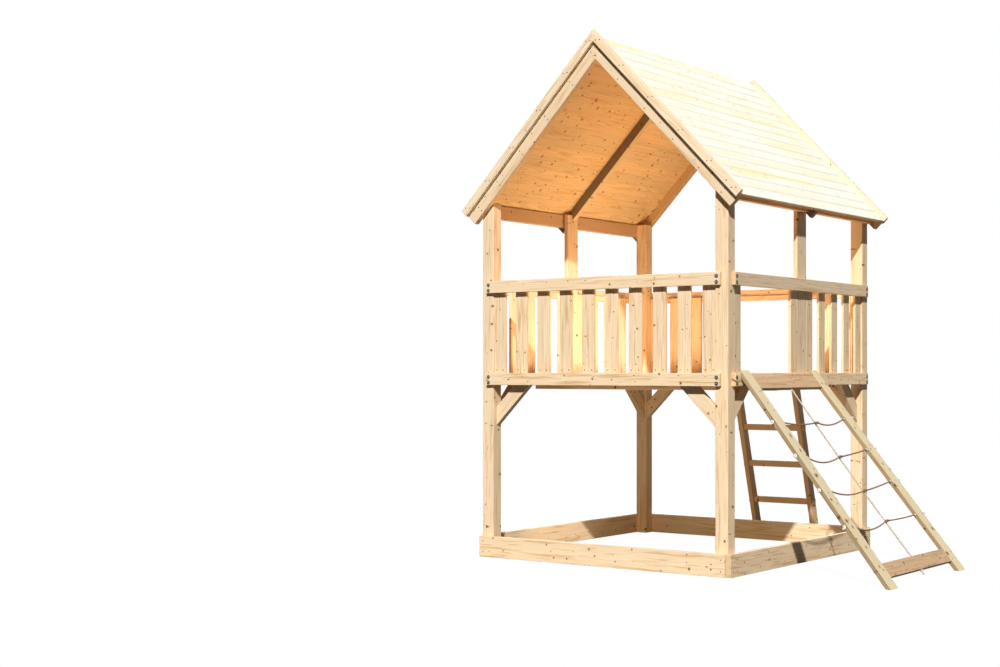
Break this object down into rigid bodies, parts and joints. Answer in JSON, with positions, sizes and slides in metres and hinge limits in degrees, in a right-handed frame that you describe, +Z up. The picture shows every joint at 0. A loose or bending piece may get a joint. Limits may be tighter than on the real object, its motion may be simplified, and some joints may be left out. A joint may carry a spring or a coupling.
{
  "type": "play tower",
  "caption": "Timber play tower: raised floor with slatted guard fence and gable roof on corner posts, sandpit frame below, rope ramp to the side and ladder at the back.",
  "frame": {"origin": "on the ground, under the middle of the whole outline seen from above, rope ramp and ladder included", "axes": "+X to the right along the front gable, towards the rope ramp; +Y from the front gable to the back, towards the ladder; +Z up"},
  "size_m": [3.0658, 2.6532, 3.492],
  "materials": {
    "post_wood": "planed pale softwood, unpainted",
    "board_wood": "planed softwood boards, unpainted",
    "slat_wood": "planed softwood slats, unpainted",
    "roof_wood": "planed pale roof boards, unpainted",
    "floor_wood": "planed softwood floor boards, unpainted",
    "ramp_wood": "planed softwood with a pale green impregnation",
    "rope_fibre": "laid natural-coloured rope"
  },
  "bodies": {
    "root": {"barge_back_left": "roof_wood", "barge_back_right": "roof_wood", "barge_front_left": "roof_wood", "barge_front_right": "roof_wood", "brace_back_left": "post_wood", "brace_back_right": "post_wood", "brace_front_left": "post_wood", "brace_front_right": "post_wood", "brace_left_back": "post_wood", "brace_left_front": "post_wood", "brace_right_back": "post_wood", "brace_right_front": "post_wood", "fence_back": "slat_wood", "fence_front": "slat_wood", "fence_left": "slat_wood", "fence_right": "slat_wood", "floor": "floor_wood", "joist_1": "board_wood", "joist_2": "board_wood", "ladder_rail_left": "board_wood", "ladder_rail_right": "board_wood", "ladder_rung_1": "board_wood", "ladder_rung_2": "board_wood", "ladder_rung_3": "board_wood", "midpost_left": "post_wood", "midpost_right": "post_wood", "pit_back": "board_wood", "pit_front": "board_wood", "pit_left": "board_wood", "pit_right": "board_wood", "post_back_left": "post_wood", "post_back_right": "post_wood", "post_front_left": "post_wood", "post_front_right": "post_wood", "purlin_left": "board_wood", "purlin_right": "board_wood", "rafter_back_left": "post_wood", "rafter_back_right": "post_wood", "rafter_front_left": "post_wood", "rafter_front_right": "post_wood", "rafter_middle_left": "post_wood", "rafter_middle_right": "post_wood", "ramp_bar_high": "board_wood", "ramp_bar_low": "board_wood", "ramp_rail_far": "ramp_wood", "ramp_rail_near": "ramp_wood", "rim_back": "board_wood", "rim_front": "board_wood", "rim_left": "board_wood", "rim_right": "board_wood", "roof_left": "roof_wood", "roof_right": "roof_wood", "rope_cross_1": "rope_fibre", "rope_cross_2": "rope_fibre", "rope_cross_3": "rope_fibre", "rope_cross_4": "rope_fibre", "rope_long": "rope_fibre"}
  },
  "joints": []
}
